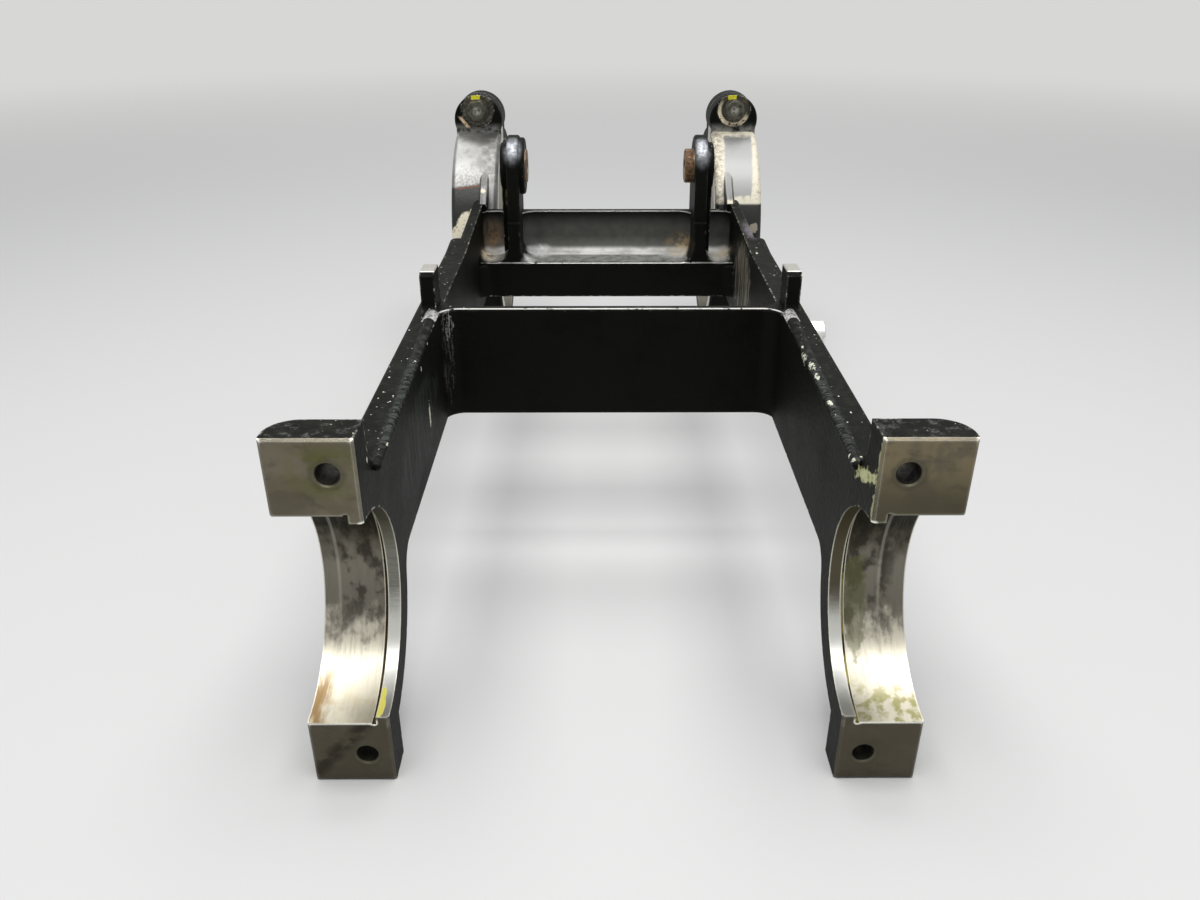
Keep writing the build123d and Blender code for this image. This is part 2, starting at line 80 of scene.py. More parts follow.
class Wire:
    # A shader socket that sums can be written with
    def __init__(self, tree, socket=None):
        self.tree = tree
        self.socket = socket

    def node(self, kind, settings=None, sockets=None, output=0):
        made = self.tree.nodes.new("ShaderNode" + kind)
        for name, value in (settings or {}).items():
            setattr(made, name, value)
        for name, value in (sockets or {}).items():
            feed(made.inputs[name], value)
        return Wire(self.tree, made.outputs[output] if made.outputs else None)

    def math(self, operation, first, second=0.0):
        return self.node("Math", {"operation": operation}, {0: first, 1: second})

    def __add__(self, other):
        return self.math("ADD", self, other)

    __radd__ = __add__

    def __sub__(self, other):
        return self.math("SUBTRACT", self, other)

    def __rsub__(self, other):
        return self.math("SUBTRACT", other, self)

    def __mul__(self, other):
        return self.math("MULTIPLY", self, other)

    __rmul__ = __mul__

    def __abs__(self):
        return self.math("ABSOLUTE", self)

    def __or__(self, other):
        return self.math("MAXIMUM", self, other)

    def sine(self):
        return self.math("SINE", self)

    def root(self):
        return self.math("SQRT", self)

    def between(self, low, high):
        # 0 at low, 1 at high, eased between them; low may be the larger
        settings = {"interpolation_type": "SMOOTHSTEP"}
        if low < high:
            return self.node("MapRange", settings, {0: self, 1: low, 2: high})
        return self.node("MapRange", settings, {0: self, 1: high, 2: low, 3: 1.0, 4: 0.0})


class Finish:
    # One material, built up coat by coat over its base
    def __init__(self, name, colour, roughness, metallic=0.0, specular=0.5):
        self.material = bpy.data.materials.new(name)
        self.material.use_nodes = True
        tree = self.material.node_tree
        self.shader = tree.nodes["Principled BSDF"]
        self.shader.inputs["Specular IOR Level"].default_value = specular
        self.place = Wire(tree).node("TexCoord", output="Object")
        self.x, self.y, self.z = self.parts(self.place)
        self.colour = colour
        self.roughness = roughness
        self.metallic = metallic
        self.height = 0.0

    def parts(self, vector):
        return [vector.node("SeparateXYZ", sockets={0: vector}, output=i) for i in range(3)]

    def vector(self, operation, first, second, output=0):
        sockets = {0: first, 1: second}
        return self.place.node("VectorMath", {"operation": operation}, sockets, output)

    def facing(self):
        # How far the surface looks along X, Y and Z
        return self.parts(self.place.node("NewGeometry", output="Normal"))

    def grain(self, size, detail=2.0, stretch=(1, 1, 1)):
        # Noise whose patches are about this size in metres, drawn out along the stretched axes
        spread = self.vector("DIVIDE", self.place, stretch)
        sockets = {"Vector": spread, "Scale": 1 / size, "Detail": detail, "Roughness": 0.6}
        return spread.node("TexNoise", sockets=sockets)

    def reach(self, centre, radii=(1, 1, 1)):
        # Distance from a centre, counted in radii
        offset = self.vector("SUBTRACT", self.place, centre)
        return self.vector("LENGTH", self.vector("DIVIDE", offset, radii), (0, 0, 0), 1)

    def spot(self, centre, radii, ragged=0.9, crumb=0.0012):
        # 1 inside a ragged patch about a centre
        frayed = (self.grain(crumb, 4) - 0.5) * ragged * 2
        return (self.reach(centre, radii) + frayed).between(1.05, 0.85)

    def glow(self, centre, radii, crumb=0.004):
        # A soft cloudy patch that fades out from a centre
        cloud = self.grain(crumb, 5).between(0.34, 0.60)
        return self.reach(centre, radii).between(1.0, 0.2) * cloud

    def band(self, along, low, high, soft):
        # 1 between two places along one axis
        return along.between(low - soft, low + soft) * along.between(high + soft, high - soft)

    def coat(self, mask, colour=None, roughness=None, metallic=None):
        # Lays another finish where the mask is 1
        if colour is not None:
            sockets = {0: mask, 6: self.colour, 7: colour}
            self.colour = mask.node("Mix", {"data_type": "RGBA"}, sockets, 2)
        if roughness is not None:
            self.roughness = self.roughness + mask * (roughness - self.roughness)
        if metallic is not None:
            self.metallic = self.metallic + mask * (metallic - self.metallic)

    def edges(self, width):
        # 1 on outward edges and corners, where there is little metal within this width
        settings = {"inside": True, "only_local": True, "samples": 8}
        metal = self.place.node("AmbientOcclusion", settings, {"Distance": width}, 1)
        return metal.between(0.90, 0.60)

    def done(self, soften=0.0006):
        # Joins the coats to the shader, with sharp edges softened
        bumps = {"Height": self.height, "Distance": 1.0}
        if soften:
            bumps["Normal"] = self.place.node("Bevel", {"samples": 4}, {"Radius": soften})
        inputs = {"Base Color": self.colour, "Roughness": self.roughness, "Metallic": self.metallic}
        inputs["Normal"] = self.place.node("Bump", sockets=bumps)
        for name, value in inputs.items():
            feed(self.shader.inputs[name], value)
        return self.material


def sprayed(name):
    # Black paint on a sand casting, rubbed through on its edges
    paint = Finish(name, paint_black, 0.5, specular=0.06)
    cast = paint.grain(0.0024, 3)
    fine = paint.grain(0.0007, 2)
    blotch = paint.grain(0.030, 4)
    paint.height = cast * 0.00026 + fine * 0.00005
    paint.roughness = 0.40 + blotch * 0.16 + cast * 0.10
    paint.coat(blotch.between(0.50, 0.75), paint_soot)
    paint.rubbed = paint.edges(0.0012)
    ragged = paint.grain(0.0035, 5)
    paint.coat(paint.rubbed * ragged.between(0.42, 0.54), (0.075, 0.075, 0.062), 0.42)
    paint.coat(paint.rubbed * ragged.between(0.56, 0.62), bare_aluminium, 0.40, 0.6)
    return paint


def dusty_specks(paint):
    # Upward faces carry grey dust and pinpoint chips
    up = paint.facing()[2].between(0.6, 0.95)
    dust = paint.grain(0.006, 5).between(0.44, 0.66)
    paint.coat(up * dust * 0.06, (0.13, 0.125, 0.10), 0.6)
    pinpoint = paint.grain(0.0016, 1).between(0.745, 0.765)
    paint.coat(up * pinpoint, chip_white, 0.6)
    # Rubbed, dusty mottles on the saddles' tops
    block_back = near_y + block_depth
    front = paint.y.between(block_back + 0.006, block_back + 0.001)
    mottle = paint.grain(0.0040, 5).between(0.50, 0.66) * paint.grain(0.0009, 3).between(0.35, 0.65)
    paint.coat(up * front * mottle * 0.7, (0.15, 0.155, 0.145), 0.55)
    # The round on each rail is rubbed grey towards the saddle
    lean = abs(paint.x) - paint.y * round_drift
    ridge = paint.band(lean, 0.0885, 0.0935, 0.0008)
    ridge = ridge * paint.z.between(rail_top - 0.0008, rail_top + 0.0005)
    worn = paint.grain(0.0016, 4, (3.0, 0.6, 1)).between(0.44, 0.62)
    nearer = paint.band(paint.y, -0.2420, -0.1500, 0.0200)
    paint.coat(ridge * worn * nearer * 0.55, (0.12, 0.132, 0.126), 0.45)
    further = paint.band(paint.y, -0.1500, -0.1080, 0.0060)
    paint.coat(ridge * dust * further * 0.45, (0.07, 0.075, 0.07), 0.40)


# Places where the paint has chipped off: the rails' tops and rounds, and a few edges. Each has
# its centre and its radii along X, Y and Z.
rail_chips = (
    ((0.0850, -0.1394, 0.1282), (0.0005, 0.0014, 0.0008)),
    ((0.0838, -0.1485, 0.1260), (0.0015, 0.0046, 0.0026)),
    ((0.0847, -0.1622, 0.1283), (0.0013, 0.0040, 0.0018)),
    ((0.0845, -0.1737, 0.1283), (0.0008, 0.0034, 0.0014)),
    ((0.0842, -0.2000, 0.1284), (0.0010, 0.0022, 0.0014)),
    ((0.0898, -0.1910, 0.1270), (0.0003, 0.0006, 0.002)),
    ((0.0910, -0.2063, 0.1270), (0.0004, 0.0007, 0.002)),
    ((0.0819, -0.2427, 0.1270), (0.0006, 0.0007, 0.0008)),
    ((0.0822, -0.2474, 0.1277), (0.0007, 0.0012, 0.0010)),
    ((0.0858, -0.2437, 0.1270), (0.0004, 0.0008, 0.0008)),
    ((-0.0843, -0.1293, 0.1262), (0.0006, 0.0012, 0.0006)),
    ((-0.0845, -0.1474, 0.1212), (0.0010, 0.0010, 0.0011)),
    ((-0.0850, -0.1563, 0.1284), (0.0004, 0.0006, 0.0006)),
    ((-0.0951, -0.1135, 0.1270), (0.0004, 0.0006, 0.002)),
    ((-0.0937, -0.1708, 0.1270), (0.0004, 0.0006, 0.002)),
    ((-0.0931, -0.1860, 0.1270), (0.0003, 0.0005, 0.002)),
    ((-0.0885, -0.1898, 0.1270), (0.0004, 0.0006, 0.002)),
    ((-0.0940, -0.1921, 0.1270), (0.0003, 0.0005, 0.002)),
    ((-0.0823, -0.2340, 0.1276), (0.0004, 0.0014, 0.0006)),
    ((-0.0845, -0.2553, 0.1325), (0.0010, 0.0008, 0.0012)),
    ((-0.0845, -0.1364, 0.0938), (0.0015, 0.0016, 0.0060)),
    ((0.0880, 0.0180, 0.1280), (0.0008, 0.0018, 0.003)),
)
# Yellow-green primer that shows beside the right saddle's block
primer_marks = (
    ((0.0847, -0.2690, 0.1200), (0.0014, 0.0022, 0.0100)),
    ((0.0847, -0.2690, 0.1405), (0.0012, 0.0020, 0.0066)),
)
# Brown dust that has settled in the far cross-member's scoops, and two painted highlights laid on
# in dust colours, the bright cream one in the left pocket's corner and the orange one on the left
# ear's
# front edge: centre, radii and colour
scoop_dust_and_highlights = (
    ((0.0510, 0.1130, 0.1070), (0.0150, 0.0120, 0.0110), (0.40, 0.29, 0.16)),
    ((0.0500, 0.1060, 0.1035), (0.0110, 0.0140, 0.0060), (0.80, 0.70, 0.52)),
    ((-0.0790, 0.1180, 0.1120), (0.0110, 0.0110, 0.0150), (0.33, 0.22, 0.12)),
    ((-0.0800, 0.0980, 0.1040), (0.0095, 0.0170, 0.0070), (0.90, 0.76, 0.55)),
    ((0.0790, 0.1030, 0.1040), (0.0090, 0.0150, 0.0080), (0.74, 0.62, 0.42)),
    ((-0.0660, 0.1043, 0.1420), (0.0020, 0.0030, 0.0100), (0.46, 0.33, 0.17)),
)
# Painted highlights and sheens, laid on as bright grey metal: in the scoops, on the ears' hubs and
# on the right rail's flange beside its arm. Each has its centre, radii and colour
painted_highlights = (
    ((-0.0450, 0.1080, 0.1030), (0.0100, 0.0160, 0.0060), (0.92, 0.92, 0.90)),
    ((-0.0525, 0.0890, 0.1040), (0.0075, 0.0100, 0.0040), (0.92, 0.92, 0.90)),
    ((0.0480, 0.1040, 0.1025), (0.0180, 0.0160, 0.0045), (0.60, 0.60, 0.57)),
    ((0.0740, 0.0960, 0.1025), (0.0110, 0.0150, 0.0050), (0.66, 0.64, 0.58)),
    ((-0.0610, 0.0960, 0.1735), (0.0075, 0.0110, 0.0150), (0.60, 0.62, 0.66)),
    ((0.0610, 0.0950, 0.1730), (0.0075, 0.0110, 0.0160), (0.66, 0.68, 0.72)),
    ((0.0900, 0.0620, 0.1295), (0.0060, 0.0240, 0.0060), (0.22, 0.20, 0.22)),
)


def black_paint():
    paint = sprayed("black_paint")
    dusty_specks(paint)
    up = paint.facing()[2]
    # The scoops' floors are painted grey, and white where they turn up into the back wall: painted
    # highlights laid on as dust and wear. The back wall's face is grey
    scoops = abs(paint.x).between(rail_inner_x + 0.0001, rail_inner_x - 0.0003)
    wall = scoops * paint.band(paint.y, 0.1100, 0.1197, 0.0004) * paint.z.between(0.1290, 0.1160)
    paint.coat(wall * (0.5 + paint.grain(0.006, 5) * 0.6), (0.125, 0.125, 0.115), 0.45)
    flat = up * paint.band(paint.y, 0.0850, 0.1060, 0.0010)
    flat = flat * paint.band(paint.z, shelf_top - 0.0025, shelf_top + 0.0020, 0.0003) * scoops
    paint.coat(flat * paint.grain(0.006, 5).between(0.10, 0.66), (0.26, 0.26, 0.24), 0.42, 0.2)
    turn = paint.band(paint.y, 0.1030, 0.1150, 0.0020) * paint.z.between(0.1085, 0.1050)
    turn = turn * up.between(0.5, 0.9) * scoops
    patchy = 0.40 + paint.grain(0.012, 4).between(0.20, 0.66) * 0.60
    paint.coat(turn * patchy, (0.80, 0.79, 0.75), 0.45)
    # Each painted highlight is laid on as grey metal, fading out from its centre
    for centre, radii, colour in painted_highlights:
        shine = paint.reach(centre, radii).between(1.0, 0.10)
        shine = shine * (0.55 + paint.grain(0.0030, 4).between(0.40, 0.60) * 0.45)
        paint.coat(shine, colour, 0.36, 0.35)
    # A bright patch on each rail's top, at the foot of the side lug: partly worn paint, partly a
    # painted highlight
    drift = (paint.grain(0.0020, 3) - 0.5) * 0.0012
    foot = paint.band(abs(paint.x) + drift, 0.0832, 0.0912, 0.0004)
    foot = foot * paint.band(paint.y + drift * 2, -0.1020, -0.0896, 0.0005) * up.between(0.15, 0.5)
    scuffed = paint.grain(0.0018, 4) - paint.y.between(-0.1000, -0.0900) * 0.10
    paint.coat(foot, (0.20, 0.20, 0.19), 0.40, 0.4)
    paint.coat(foot * scuffed.between(0.36, 0.52), (0.74, 0.73, 0.71), 0.35, 0.55)
    # The dust, with the two painted highlights among it
    for centre, radii, colour in scoop_dust_and_highlights:
        paint.coat(paint.glow(centre, radii) * 0.85, colour, 0.7)
    # The upper lugs' faces are painted lighter grey just above the arms: a painted highlight that
    # blends them into the arms' painted sheen
    front = paint.z.between(0.1780, 0.1705) * paint.z.between(0.1600, 0.1640)
    front = front * paint.band(paint.y, lug_face_y - 0.0010, lug_face_y + 0.0025, 0.0004)
    paint.coat(front * paint.grain(0.006, 5).between(0.30, 0.60), (0.34, 0.335, 0.31), 0.42, 0.3)
    # A brown run of old sealant across the left lug's face
    run = abs(paint.x * 0.80 + paint.z * 0.60 - 0.0253) - 0.0009
    run = (run + (paint.grain(0.002, 3) - 0.5) * 0.0016).between(0.0007, -0.0003)
    run = run * paint.band(paint.z, 0.1740, 0.1812, 0.0010) * paint.x.between(-0.08, -0.09)
    run = run * paint.band(paint.y, lug_face_y - 0.0008, lug_face_y + 0.0030, 0.0002)
    paint.coat(run * paint.grain(0.0015, 4).between(0.30, 0.50), (0.80, 0.60, 0.38), 0.6)
    for centre, radii in rail_chips:
        chip = paint.spot(centre, radii, 1.25, 0.0010)
        if radii[1] > 0.0025:
            chip = chip * paint.grain(0.0011, 3).between(0.455, 0.50)
        paint.coat(chip, chip_white, 0.6)
        paint.height = paint.height - chip * 0.00006
    rag = (paint.grain(0.0035, 5) - 0.5) * 0.010
    primer = paint.band(paint.z + (paint.y + 0.2560) * 0.44 + rag, 0.1243, 0.1285, 0.0006)
    primer = primer * paint.band(paint.y + rag * 1.5, -0.2676, -0.2440, 0.0010)
    primer = primer * abs(paint.x - rail_inner_x).between(0.0014, 0.0008)
    paint.coat(primer * 0.9, (0.74, 0.76, 0.42), 0.5)
    paint.coat(primer * paint.grain(0.0020, 4).between(0.50, 0.62) * 0.8, (0.32, 0.31, 0.12), 0.5)
    for centre, radii in primer_marks:
        paint.coat(paint.spot(centre, radii, 1.1, 0.003) * 0.8, (0.52, 0.53, 0.28), 0.5)
    # The near cross-member's top front edge is painted bright from rail to rail, and so are the
    # scoops' front lips and, less, the back wall's top edge: partly rubbed paint, partly painted
    # highlights
    gaps = paint.grain(0.0050, 5).between(0.34, 0.42)
    out_x = (abs(paint.x) - (rail_inner_x - cross_corner_r)) | 0.0
    out_y = (paint.y - (cross_y - cross_corner_r)) | 0.0
    round_edge = (out_x * out_x + out_y * out_y).root()
    rim = paint.band(round_edge, cross_corner_r + 0.0006, cross_corner_r + 0.0014, 0.0002)
    rim = rim * paint.z.between(rail_top - 0.0009, rail_top - 0.0005)
    rim = rim * paint.band(paint.y, -0.0900, -0.0800, 0.0020)
    paint.coat(rim * gaps, (0.66, 0.65, 0.62), 0.38, 0.3)
    lips = paint.band(paint.y, trough_y - 0.00035, trough_y + 0.00065, 0.0002)
    lips = lips * paint.band(paint.z, shelf_top - 0.0004, shelf_top + 0.0005, 0.0002)
    lips = lips * abs(paint.x).between(rail_inner_x - 0.0005, rail_inner_x - 0.0015)
    lips = lips * (0.45 + abs(paint.x).between(0.0640, 0.0560) * 0.5)
    paint.coat(lips * gaps, (0.84, 0.83, 0.78), 0.38, 0.4)
    # The ears' steps, which stand as high as the back wall, keep their paint
    wall_high = paint.band(paint.z, 0.1265, 0.1290, 0.0004)
    step = paint.band(paint.y, 0.0818, 0.0870, 0.0004) * wall_high
    paint.coat(step, paint_black, 0.45, 0.0)
    brow = paint.rubbed.between(0.2, 0.6) * paint.band(paint.y, 0.1100, 0.1205, 0.0004)
    paint.coat(brow * wall_high * gaps, (0.60, 0.59, 0.56), 0.38, 0.5)
    # Streaks down the left front corner, down the right rail's web behind the near cross-member
    # and, more faintly, down the left rail's web in front of it
    drip = paint.grain(0.0007, 4, (1, 1, 14)) + (paint.grain(0.0012, 4) - 0.5) * 0.5
    corner = paint.spot((-0.0813, -0.0862, 0.1205), (0.0028, 0.0050, 0.0085), 0.8, 0.003)
    paint.coat(corner * drip.between(0.48, 0.62) * 0.7, (0.44, 0.42, 0.40), 0.5)
    corner = paint.spot((-0.0822, -0.0870, 0.1020), (0.0034, 0.0050, 0.026), 0.5, 0.006)
    paint.coat(corner * drip.between(0.48, 0.66) * 0.4, (0.15, 0.14, 0.135), 0.5)
    smear = paint.grain(0.0030, 4, (1, 1, 12)) + (paint.grain(0.0012, 3, (1, 1, 5)) - 0.5) * 0.4
    web = paint.spot((rail_inner_x, 0.0460, 0.1000), (0.0030, 0.0360, 0.026), 0.5, 0.006)
    paint.coat(web * smear.between(0.36, 0.64) * 0.75, (0.30, 0.27, 0.21), 0.5)
    web = paint.spot((-rail_inner_x, -0.1600, 0.0960), (0.0030, 0.0500, 0.020), 0.5, 0.010)
    paint.coat(web * smear.between(0.40, 0.66) * 0.35, (0.07, 0.085, 0.075), 0.5)
    return paint.done()


def select_only(thing):
    # Selects one object and makes it the active one
    bpy.ops.object.select_all(action="DESELECT")
    thing.select_set(True)
    bpy.context.view_layer.objects.active = thing


# The solid's loose triangles are merged and its flat faces made whole, then shaded smooth up to
# the crease
flat_within = math.radians(0.2)
crease = math.radians(32)
casting = bpy.data.objects.new("casting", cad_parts["frame_casting"].data.copy())
bpy.context.collection.objects.link(casting)
select_only(casting)
bpy.ops.object.mode_set(mode="EDIT")
bpy.ops.mesh.select_all(action="SELECT")
bpy.ops.mesh.remove_doubles(threshold=0.000001)
bpy.ops.mesh.dissolve_limited(angle_limit=flat_within)
bpy.ops.mesh.select_all(action="DESELECT")
bpy.ops.object.mode_set(mode="OBJECT")
bpy.ops.mesh.customdata_custom_splitnormals_clear()
bpy.ops.object.shade_smooth_by_angle(angle=crease)
even = casting.modifiers.new("even", "WEIGHTED_NORMAL")
even.mode = "FACE_AREA_WITH_ANGLE"
even.keep_sharp = True
bpy.ops.object.modifier_apply(modifier="even")
casting.data.materials.clear()
casting.data.materials.append(black_paint())
for face in casting.data.polygons:
    face.material_index = 0
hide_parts("frame_casting")
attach(casting, "root")


def refinish(material, belongs):
    # Gives the casting's faces that pass a test on middle and normal another finish
    casting.data.materials.append(material)
    slot = len(casting.data.materials) - 1
    for face in casting.data.polygons:
        if belongs(face.center, face.normal):
            face.material_index = slot


# The near saddles' flat faces: milled aluminium round two bolt holes each, where the bearing
# caps seat. They have gone brown-grey with a green cast, and their upper edges carry painted
# highlights.
near_axis_z = 0.0735
near_hole_x = rail_inner_x + 0.010
near_hole_offset = 0.0605


def milled_face():
    metal = Finish("milled_face", (0.138, 0.120, 0.086), 0.38, 1.0)
    sweep = metal.reach((0.02, near_y, 0.32))
    arcs = (sweep * 5200).sine()
    cloud = metal.grain(0.013, 4)
    smear = metal.grain(0.0040, 5, (2.0, 1, 1))
    metal.height = arcs * 0.0000010 + metal.grain(0.0003, 3) * 0.000006
    metal.roughness = 0.30 + smear * 0.20
    metal.coat(cloud.between(0.40, 0.62), (0.172, 0.152, 0.112))
    warm = metal.x.between(0.02, 0.04) * metal.z.between(0.1180, 0.1340)
    metal.coat(warm * cloud.between(0.36, 0.56) * 0.8, (0.205, 0.168, 0.100))
    metal.coat(smear.between(0.52, 0.68) * 0.45, (0.085, 0.076, 0.053))
    # Darker low on the blocks and out at the corners
    low = metal.z.between(0.1420, 0.1200) * metal.z.between(0.08, 0.10)
    low = low * metal.x.between(-0.05, 0.11)
    metal.coat(low * 0.85, (0.072, 0.064, 0.040))
    metal.coat(metal.z.between(0.0500, 0.0380) * 0.72, (0.062, 0.055, 0.040))
    shade = metal.spot((-0.1090, near_y, 0.1235), (0.009, 0.02, 0.007), 0.7, 0.008)
    metal.coat(shade * 0.4, (0.085, 0.076, 0.055))
    slant = metal.band(metal.x - metal.z * 0.9, -0.1225, -0.1150, 0.0030)
    slant = slant * metal.z.between(0.05, 0.04)
    metal.coat(slant * smear.between(0.35, 0.55) * 0.75, (0.022, 0.020, 0.014))
    tinted = metal.glow((-0.0945, near_y, 0.1355), (0.019, 0.05, 0.014), 0.008)
    metal.coat(tinted * 0.75, (0.120, 0.125, 0.034))
    for side in (1, -1):
        for end in (1, -1):
            hole = (side * near_hole_x, near_y, near_axis_z + end * near_hole_offset)
            grime = metal.reach(hole, (0.0066, 0.05, 0.0066)) + (metal.grain(0.003, 3) - 0.5) * 0.5
            metal.coat(grime.between(1.05, 0.75) * 0.5, (0.070, 0.066, 0.040), 0.5)
    # A little bright wear on every edge, and painted highlights along the blocks' top edges and
    # inner edges
    rim = metal.edges(0.0013)
    lit = metal.band(metal.z, 0.1440, 0.1480, 0.0006) | metal.band(metal.z, 0.0262, 0.0300, 0.0006)
    lit = lit | (abs(metal.x).between(0.0870, 0.0860) * metal.z.between(0.1000, 0.1150))
    metal.coat(rim * (0.15 + 0.85 * lit), (0.98, 0.97, 0.88), 0.30)
    return metal.done(0.0003)


refinish(milled_face(), lambda spot, way: spot.y < near_y + 0.0011 and way.y < -0.5)


# The bolt holes of the saddles and the far lugs, drilled right through the casting after it was
# painted, so that their walls are bare aluminium. Old grease has darkened them.
bolt_hole_r = 0.00405
lug_bolt_x = 0.0915
far_axis_z = 0.098
lug_bolt_offset = 0.088


def drilled_hole():
    metal = Finish("drilled_hole", (0.040, 0.036, 0.026), 0.5, 0.6)
    cloud = metal.grain(0.003, 4)
    metal.height = metal.grain(0.0004, 2, (1, 8, 1)) * 0.00002
    metal.roughness = 0.38 + cloud * 0.3
    metal.coat(cloud.between(0.50, 0.66), (0.012, 0.011, 0.008), 0.7)
    return metal.done(0)


def in_bolt_hole(spot, way):
    near = math.hypot(abs(spot.x) - near_hole_x, abs(spot.z - near_axis_z) - near_hole_offset)
    far = math.hypot(abs(spot.x) - lug_bolt_x, abs(spot.z - far_axis_z) - lug_bolt_offset)
    hole_wall = bolt_hole_r + 0.00015
    in_saddle = near < hole_wall and spot.y < near_y + block_depth + 0.001
    in_lug = far < hole_wall and spot.y > lug_face_y - 0.010
    return abs(way.y) < 0.3 and (in_saddle or in_lug)


refinish(drilled_hole(), in_bolt_hole)


# The near bearing seats: two half rounds bored and ground in the saddles, each with a thin lip
# on its inner side and the grinding wheel's groove beside it. Grease has browned them.
near_bore_r = 0.045
lip_end_x = rail_inner_x + 0.005
groove_width = 0.0016


def bored_seat():
    metal = Finish("bored_seat", (0.66, 0.62, 0.51), 0.30, 1.0)
    turning = metal.grain(0.00022, 2, (1, 60, 60))
    streak = metal.grain(0.0013, 4, (1, 10, 10))
    cloud = metal.grain(0.010, 5, (1, 1.4, 1.4))
    smoke = metal.grain(0.0060, 6, (1, 1.6, 1.6))
    metal.height = turning * 0.000010 + metal.grain(0.0006, 2) * 0.000005
    metal.roughness = 0.25 + turning * 0.08 + streak * 0.12
    # The seats are painted darker upward, bright at the bottom and nearly black at the top: partly
    # grease, partly painted shade
    height_up = metal.z + (smoke - 0.5) * 0.036 + (streak - 0.5) * 0.004
    metal.coat(height_up.between(0.041, 0.053), (0.190, 0.176, 0.145))
    metal.coat(height_up.between(0.066, 0.086), (0.070, 0.064, 0.048), 0.40)
    metal.coat(height_up.between(0.080, 0.092), (0.018, 0.016, 0.011), 0.42)
    metal.coat(streak.between(0.48, 0.64) * 0.22, (0.125, 0.115, 0.088))
    left = metal.x.between(0.01, -0.01)
    out = abs(metal.x)
    # Smoky dark blotches across the middle
    middle = metal.band(metal.z, 0.050, 0.088, 0.010)
    smudge = smoke.between(0.46, 0.60) * middle * out.between(0.1130, 0.1060)
    metal.coat(smudge * 0.75, (0.036, 0.033, 0.026), 0.42)
    left_track = metal.band(metal.x, -0.1098, -0.1086, 0.0003)
    track = left_track | metal.band(metal.x, 0.1045, 0.1057, 0.0003)
    metal.coat(track * 0.35, (0.42, 0.40, 0.34), 0.22)
    # The bottoms are stained: brown at the left seat's outer corner, olive on the right
    bottom = metal.z.between(0.0338, 0.0292)
    stain = bottom * metal.grain(0.005, 5).between(0.44, 0.60)
    metal.coat(metal.z.between(0.0375, 0.0310) * 0.55, (0.46, 0.43, 0.34), 0.40)
    metal.coat(stain * left * 0.55, (0.50, 0.43, 0.29), 0.42)
    metal.coat(stain * (1 - left) * 0.85, (0.27, 0.255, 0.090), 0.42)
    rusty = (out + (smoke - 0.5) * 0.010).between(0.1070, 0.1130) * metal.z.between(0.0375, 0.0305)
    metal.coat(rusty * streak.between(0.32, 0.52) * left * 0.9, (0.25, 0.150, 0.055), 0.5)
    olive = metal.spot((0.0950, near_y + 0.036, 0.0580), (0.0055, 0.020, 0.022), 0.7, 0.006)
    metal.coat(olive * 0.55, (0.120, 0.125, 0.055), 0.4)
    # The grinding groove, and the lip inboard of it: the lip is painted bright below as a painted
    # highlight, and dark above with grime and painted shade
    groove = metal.band(out, lip_end_x - 0.0002, lip_end_x + groove_width + 0.0002, 0.0003)
    metal.coat(groove, (0.070, 0.052, 0.020), 0.55)
    metal.coat(groove * (1 - left) * streak.between(0.48, 0.56), (0.42, 0.37, 0.12), 0.5)
    lip = out.between(lip_end_x, lip_end_x - 0.0003)
    chatter = metal.grain(0.0005, 2, (20, 1, 1))
    metal.coat(lip, (0.70, 0.70, 0.66), 0.30)
    grime_and_shade_above = (metal.z + (cloud - 0.5) * 0.012).between(0.048, 0.064)
    metal.coat(lip * grime_and_shade_above, (0.20, 0.20, 0.175), 0.36)
    metal.coat(lip * chatter.between(0.46, 0.62) * grime_and_shade_above * 0.4, (0.11, 0.11, 0.09), 0.45)
    metal.coat(lip * metal.z.between(0.080, 0.104) * 0.8, (0.070, 0.065, 0.046), 0.45)
    metal.coat(lip * (1 - left) * metal.z.between(0.048, 0.064) * 0.85, (0.075, 0.062, 0.034), 0.45)
    yellow = metal.spot((-0.0884, near_y + 0.0070, 0.0322), (0.0013, 0.0100, 0.0040), 0.9, 0.003)
    metal.coat(yellow * 0.9, (0.74, 0.66, 0.06), 0.5, 0.2)
    metal.coat(metal.edges(0.0008) * 0.8, (0.90, 0.88, 0.78), 0.30)
    return metal.done(0.0003)


def in_near_seat(spot, way):
    from_axis = math.hypot(spot.y - near_y, spot.z - near_axis_z)
    in_saddle = abs(spot.x) > rail_inner_x - 0.0001 and spot.y > near_y + 0.0001
    return from_axis < near_bore_r + 0.0008 and in_saddle


refinish(bored_seat(), in_near_seat)


# The far arms' round backs. The left one's silver metal is a painted sheen that stands for
# reflections on its glossy black paint, painted darker inboard and towards a brown line, below
# which the arm is black; the right one has a grey panel inside a cream border of old masking.
far_arm_r = 0.0745
arm_inner_x = 0.0755
rib_inner_x = 0.0815
rib_width = 0.006
rib_low_z = 0.1385
rib_near_y = 0.105


